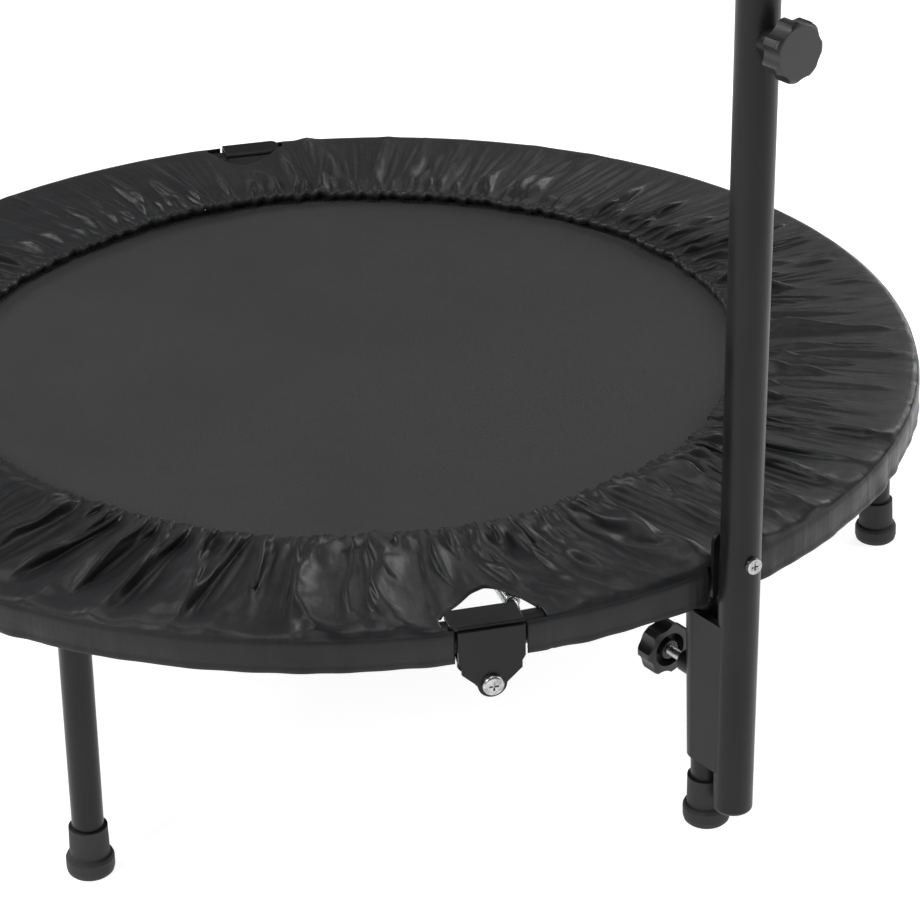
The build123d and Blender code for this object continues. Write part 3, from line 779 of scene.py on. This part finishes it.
def settle_panel(points):
    """Let the gathered panel settle, held at the rim, while the elastic draws its hem inwards."""
    last_frame = 12
    cloth_piece = new_piece("settling_panel", points, grid_faces(PANEL_ROWS, COVER_COLUMNS), NYLON)
    held = cloth_piece.vertex_groups.new(name="held")
    last = (PANEL_ROWS - 1) * COVER_COLUMNS
    held.add(list(range(COVER_COLUMNS)) + list(range(last, last + COVER_COLUMNS)), 1.0, "REPLACE")
    cloth_piece.shape_key_add(name="cut")
    drawn = cloth_piece.shape_key_add(name="drawn_in")
    hem_radius = np.hypot(points[:COVER_COLUMNS, 0], points[:COVER_COLUMNS, 1])
    pulled = points.copy()
    pulled[:COVER_COLUMNS, :2] *= (1 - ELASTIC_PULL / hem_radius)[:, None]
    drawn.data.foreach_set("co", pulled.ravel())
    drawn.value = 0.0
    drawn.keyframe_insert("value", frame=1)
    drawn.value = 1.0
    drawn.keyframe_insert("value", frame=last_frame - 3)
    modifier = cloth_piece.modifiers.new("settle", "CLOTH")
    settings = modifier.settings
    settings.quality = 6
    settings.mass = 0.1
    settings.tension_stiffness = 40
    settings.compression_stiffness = 40
    settings.shear_stiffness = 12
    settings.bending_stiffness = 0.02
    settings.air_damping = 3
    settings.effector_weights.gravity = 0.08
    settings.vertex_group_mass = "held"
    modifier.collision_settings.use_collision = False
    modifier.collision_settings.use_self_collision = False
    scene = bpy.context.scene
    modifier.point_cache.frame_start = 1
    modifier.point_cache.frame_end = last_frame
    for number in range(1, last_frame + 1):
        scene.frame_set(number)
    evaluated = cloth_piece.evaluated_get(bpy.context.evaluated_depsgraph_get())
    settled = np.empty(len(evaluated.data.vertices) * 3)
    evaluated.data.vertices.foreach_get("co", settled)
    mesh = cloth_piece.data
    action = mesh.shape_keys.animation_data.action
    bpy.data.objects.remove(cloth_piece)
    bpy.data.meshes.remove(mesh)
    bpy.data.actions.remove(action)
    scene.frame_set(1)
    return settled.reshape(-1, 3)


def clear_of_frame(points):
    """Keep the fabric above the mat's rings, the springs and the rim tube."""
    radius = np.hypot(points[:, 0], points[:, 1])
    springs_top = SPRING_Z + SPRING_COIL_R + 1.1 * MM
    over_rim = smooth_step(radius, 468 * MM, 486 * MM)
    lowest = springs_top + (RIM_TOP_Z - 0.6 * MM - springs_top) * over_rim
    lowest = lowest - 1.5 * MM * (1 - smooth_step(radius, 372 * MM, 392 * MM))
    short = np.maximum(lowest - points[:, 2], 0)
    points[:, 2] += short * 0.97
    return points


def rim_profile():
    """From the top of the tube round its outside, flatter than a circle because the cloth is taut."""
    power = 2 / 5.0
    turns = np.linspace(radians(90), 0, RIM_ROWS + 1)[1:]
    across = np.cos(turns) ** power
    rise = np.sin(turns) ** power
    radius = RING_R + (RIM_OUT_R - RING_R) * across
    height = RING_Z + (RIM_TOP_Z - RING_Z) * rise
    return radius, height


def make_cover_grid(panel):
    """Hem casing, settled panel, rim and skirt as one grid of points, and which points exist."""
    generator = np.random.default_rng(19)
    rows = panel.reshape(PANEL_ROWS, COVER_COLUMNS, 3)
    hem = rows[0]
    outward = np.stack([np.cos(column_azimuth), np.sin(column_azimuth), np.zeros(COVER_COLUMNS)], axis=1)
    upward = np.array([0, 0, 1.0])
    casing = []
    for row in range(CASING_ROWS):
        turn = radians(285) * (1 - row / CASING_ROWS)
        swell = CASING_R * (0.9 + 0.12 * ring_wave(column_azimuth, np.random.default_rng(3), 60, 150, 0.2))
        out = -np.sin(turn) * swell
        up = (np.cos(turn) - 1) * swell
        casing.append(hem + outward * out[:, None] + upward * up[:, None])
    rim_radius, rim_height = rim_profile()
    skirt_height = np.linspace(rim_height[-1], SKIRT_Z, SKIRT_ROWS + 1)[1:]
    loose = ring_wave(column_azimuth, generator, 30, 110, 0.3)
    broad = ring_wave(column_azimuth, generator, 8, 30, 0.4)
    outer_rows = []
    last = rows[-1]
    last_radius = np.hypot(last[:, 0], last[:, 1])
    leftover = np.where(last_radius > CUT_LIMIT_R, np.maximum(last[:, 2] - RIM_TOP_Z, 0), 0)
    upright_seam = 0.9 * MM * np.exp(-((fold_side_x(RIM_OUT_R) - UPRIGHT_SEAM_X) / (1.6 * MM)) ** 2)
    for row, (radius, height) in enumerate(zip(rim_radius, rim_height)):
        seam = 0.9 * MM if row == SEAM_ROW else 0.0
        ripple = 0.18 * MM * loose * (row / RIM_ROWS)
        fold = leftover * (1 - smooth_step(np.float64(row), -1, SEAM_ROW + 0.5))
        out = radius + ripple + seam - (upright_seam if row >= SEAM_ROW else 0) + 0.5 * fold
        outer_rows.append(outward * out[:, None] + upward * (height + 0.3 * seam + fold)[:, None])
    for row, height in enumerate(skirt_height):
        share = (row + 1) / SKIRT_ROWS
        ripple = (0.15 + 0.3 * share) * MM * loose + 0.6 * MM * share * broad
        hem_band = 0.5 * MM if row >= SKIRT_ROWS - 3 else 0.0
        out = RIM_OUT_R + np.maximum(ripple, -1.0 * MM) + hem_band - upright_seam
        lower = 0.12 * MM * broad * share
        outer_rows.append(outward * out[:, None] + upward * (height + lower)[:, None])
    grid = np.stack(casing + list(rows) + outer_rows)
    present = np.ones(grid.shape[:2], bool)
    x_rim = fold_side_x(RIM_OUT_R)
    in_notch = last_radius < CUT_LIMIT_R
    in_notch |= (x_rim > NOTCH_LEFT) & (x_rim < NOTCH_RIGHT)
    seam_row = RIM_START_ROW + SEAM_ROW
    present[RIM_START_ROW:seam_row, in_notch] = False
    present[seam_row:, (x_rim > SKIRT_GAP[0]) & (x_rim < SKIRT_GAP[1])] = False
    at_bracket = np.abs(angle_between(column_azimuth, POST_AZIMUTH)) * RIM_OUT_R < BRACKET_HALF
    present[seam_row:, at_bracket] = False
    return grid, present


def thickened(points, faces, thickness):
    """A closed sheet from a surface: the surface itself, a copy behind it, and the edge between."""
    mesh = bpy.data.meshes.new("thickened")
    mesh.from_pydata([tuple(point) for point in points], [], faces)
    mesh.update()
    piece = bpy.data.objects.new("thickened", mesh)
    bpy.context.scene.collection.objects.link(piece)
    modifier = piece.modifiers.new("thickness", "SOLIDIFY")
    modifier.thickness = thickness
    modifier.offset = -1
    modifier.use_even_offset = False
    evaluated = piece.evaluated_get(bpy.context.evaluated_depsgraph_get())
    result = bpy.data.meshes.new_from_object(evaluated)
    bpy.data.objects.remove(piece)
    bpy.data.meshes.remove(mesh)
    return result


def tidy_loose(points, faces):
    used = sorted({index for face in faces for index in face})
    number = {index: order for order, index in enumerate(used)}
    return [points[index] for index in used], [tuple(number[index] for index in face) for face in faces]


def surface_piece(name, points, faces, material):
    points, faces = tidy_loose(points, faces)
    mesh = thickened(points, faces, FABRIC)
    mesh.name = name
    mesh.materials.clear()
    mesh.materials.append(material)
    mesh.polygons.foreach_set("use_smooth", [True] * len(mesh.polygons))
    piece = bpy.data.objects.new(name, mesh)
    bpy.context.scene.collection.objects.link(piece)
    return piece


def along_columns(grid, row, chosen, lift, out):
    """Points along one row of the cover, a little off its surface."""
    line = grid[row, chosen]
    azimuth = column_azimuth[chosen]
    push = np.stack([np.cos(azimuth), np.sin(azimuth), np.zeros(len(azimuth))], axis=1) * out
    return line + push + np.array([0, 0, lift])


def make_seam_stitches(grid, present):
    """Stitches along the rim seam and along the skirt's lower hem."""
    parts = []
    for row, lift, out in ((RIM_START_ROW + 1, THREAD_R, 0.0),
                           (RIM_START_ROW + RIM_ROWS + SKIRT_ROWS - 4, 0.0, THREAD_R)):
        for start in range(0, COVER_COLUMNS - 3, 3):
            chosen = np.array([start, start + 1, start + 2])
            if not present[row, chosen].all():
                continue
            line = along_columns(grid, row, chosen, lift, out)
            inset = line[0] * 0.75 + line[1] * 0.25
            outset = line[2] * 0.75 + line[1] * 0.25
            parts.append(swept_tube([inset, line[1], outset], THREAD_R, sides=5))
    points, faces = joined(parts)
    stitches = new_piece("cover_stitches", points, faces, THREAD)
    return bend_over_fold(stitches)


def make_notch_bindings(grid):
    """The folded edge of the cloth round each notch."""
    last = RIM_START_ROW - 1
    radius = np.hypot(grid[last, :, 0], grid[last, :, 1])
    cut = np.flatnonzero(radius < CUT_LIMIT_R)
    parts = []
    for front in (True, False):
        chosen = [index for index in cut if (sin(column_azimuth[index]) < 0) == front]
        path = [grid[last, index] + np.array([0, 0, -0.4 * MM]) for index in chosen]
        parts.append(swept_tube(path, 1.3 * MM, sides=8, flat=0.8))
    points, faces = joined(parts)
    binding = new_piece("notch_binding", points, faces, NYLON)
    return bend_over_fold(binding)


def make_hem_elastic(grid):
    """The elastic cord inside the hem casing."""
    hem = grid[CASING_ROWS]
    azimuth = column_azimuth
    path = []
    for index in range(0, COVER_COLUMNS, 4):
        inward = polar(1, azimuth[index])
        point = Vector(hem[index]) - inward * 0.2 * MM
        path.append(point - Vector((0, 0, CASING_R)))
    points, faces = swept_tube(path, CORD_R, sides=8, closed=True)
    cord = new_piece("hem_elastic", points, faces, ELASTIC)
    bend_over_fold(cord)
    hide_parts("right_hem_elastic", "left_hem_elastic")
    return cord


def make_cover():
    radius, azimuth, height = make_panel_grid()
    panel = np.stack([radius * np.cos(azimuth), radius * np.sin(azimuth), height], axis=2).reshape(-1, 3)
    panel = settle_panel(panel)
    panel = clear_of_frame(panel)
    grid, present = make_cover_grid(panel)
    faces = grid_faces(grid.shape[0], COVER_COLUMNS, present)
    points = grid.reshape(-1, 3)
    cover = surface_piece("gathered_cover", points, faces, NYLON)
    bend_over_fold(cover)
    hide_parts("right_cover", "left_cover")
    extras = [make_seam_stitches(grid, present), make_notch_bindings(grid), make_hem_elastic(grid)]
    return cover, extras


# ---------------------------------------------------------------- threaded screws of the knobs
def make_threaded_screw(node_name, body, joint_name):
    """The knob's screw with a real thread, along the joint's axis."""
    joint = next(item for item in frame["joints"] if item["name"] == joint_name)
    axis = Vector(joint["axis"]).normalized()
    node = frame["nodes"][node_name]
    corners = [vertex.co for vertex in node.data.vertices]
    middle = sum(corners, Vector()) / len(corners)
    reach = [(corner - middle).dot(axis) for corner in corners]
    start, end = min(reach), max(reach)
    side = axis.orthogonal().normalized()
    other = axis.cross(side)
    pitch = 1.25 * MM
    root_r = 3.35 * MM
    thread_depth = 0.62 * MM
    sides = 24
    rings = int((end - start) / (pitch / 6))
    points = []
    for ring in range(rings + 1):
        along = start + (end - start) * ring / rings
        for step in range(sides):
            turn = 2 * pi * step / sides
            wave = abs(((along / pitch - step / sides) % 1) * 2 - 1)
            radius = root_r + thread_depth * wave
            points.append(middle + axis * along + side * (radius * cos(turn)) + other * (radius * sin(turn)))
    faces = [tuple(reversed(range(sides))), tuple(rings * sides + step for step in range(sides))]
    for ring in range(rings):
        faces += strip_faces(ring * sides, (ring + 1) * sides, sides)
    screw = new_piece(node_name + "_thread", points, faces, ZINC)
    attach(screw, body)
    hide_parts(node_name)


# ---------------------------------------------------------------- camera, floor and lights
def make_camera():
    heading = radians(13.6)
    pitch = radians(27.88)
    roll = radians(-1.219)
    forward = Vector((sin(heading) * cos(pitch), cos(heading) * cos(pitch), -sin(pitch)))
    level = Vector((cos(heading), -sin(heading), 0))
    upright = level.cross(forward)
    right = level * cos(roll) + upright * sin(roll)
    up = upright * cos(roll) - level * sin(roll)
    camera_data = bpy.data.cameras.new("camera")
    camera_data.lens = 109.62
    camera_data.sensor_width = 36
    camera = bpy.data.objects.new("camera", camera_data)
    bpy.context.scene.collection.objects.link(camera)
    turned = Matrix((right, up, -forward)).transposed().to_4x4()
    turned.translation = Vector((-0.4385, -2.2326, 1.0911))
    camera.matrix_world = turned
    bpy.context.scene.camera = camera


def make_floor():
    finish = Finish("studio_floor", (0.6, 0.6, 0.6), 0.9, specular=0.1)
    finish.shader.inputs["Emission Color"].default_value = (1, 1, 1, 1)
    finish.shader.inputs["Emission Strength"].default_value = 0.88
    half = 60.0
    level = FLOOR_Z - 0.2 * MM
    corners = [(-half, -half, level), (half, -half, level), (half, half, level), (-half, half, level)]
    floor = new_piece("studio_floor", corners, [(0, 1, 2, 3)], finish.done())


def soft_box(name, place, target, size, power):
    light_data = bpy.data.lights.new(name, "AREA")
    light_data.shape = "RECTANGLE"
    light_data.size, light_data.size_y = size
    light_data.energy = power
    light = bpy.data.objects.new(name, light_data)
    bpy.context.scene.collection.objects.link(light)
    place = Vector(place)
    direction = Vector(target) - place
    light.matrix_world = Matrix.Translation(place) @ direction.to_track_quat("-Z", "Y").to_matrix().to_4x4()


def make_lights():
    world = bpy.data.worlds.new("studio")
    world.use_nodes = True
    background = world.node_tree.nodes["Background"]
    background.inputs["Color"].default_value = (1, 1, 1, 1)
    background.inputs["Strength"].default_value = 0.12
    bpy.context.scene.world = world
    soft_box("overhead", (-0.4, -0.2, 2.7), (0, 0, 0), (2.1, 1.6), 38)
    soft_box("back_left", (-2.7, 2.3, 1.9), (0, 0, 0), (1.2, 1.2), 58)
    soft_box("back_right", (1.9, 2.7, 2.3), (0.2, 0, 0), (1.6, 1.2), 11)
    soft_box("right_back", (2.5, 2.0, 0.8), (0.2, -0.3, 0.1), (0.5, 1.4), 17)
    soft_box("right_strip", (2.6, -0.9, 1.1), (0.2, -0.4, 0.1), (0.4, 1.8), 22)
    soft_box("left_front", (-2.4, -1.8, 1.7), (-0.1, -0.3, 0), (1.0, 1.0), 36)
    bpy.context.scene.view_settings.view_transform = "Standard"


# ---------------------------------------------------------------- the whole scene
make_camera()
make_floor()
make_lights()
dress_cad_nodes()
mat = make_mat()
webbing = make_webbing()
mat_stitches = make_mat_stitches()
make_tabs()
make_springs()
cover, cover_extras = make_cover()
make_threaded_screw("clamp_knob_screw", "clamp_knob_body", "clamp_knob_turn")
make_threaded_screw("height_knob_screw", "height_knob_body", "height_knob_turn")
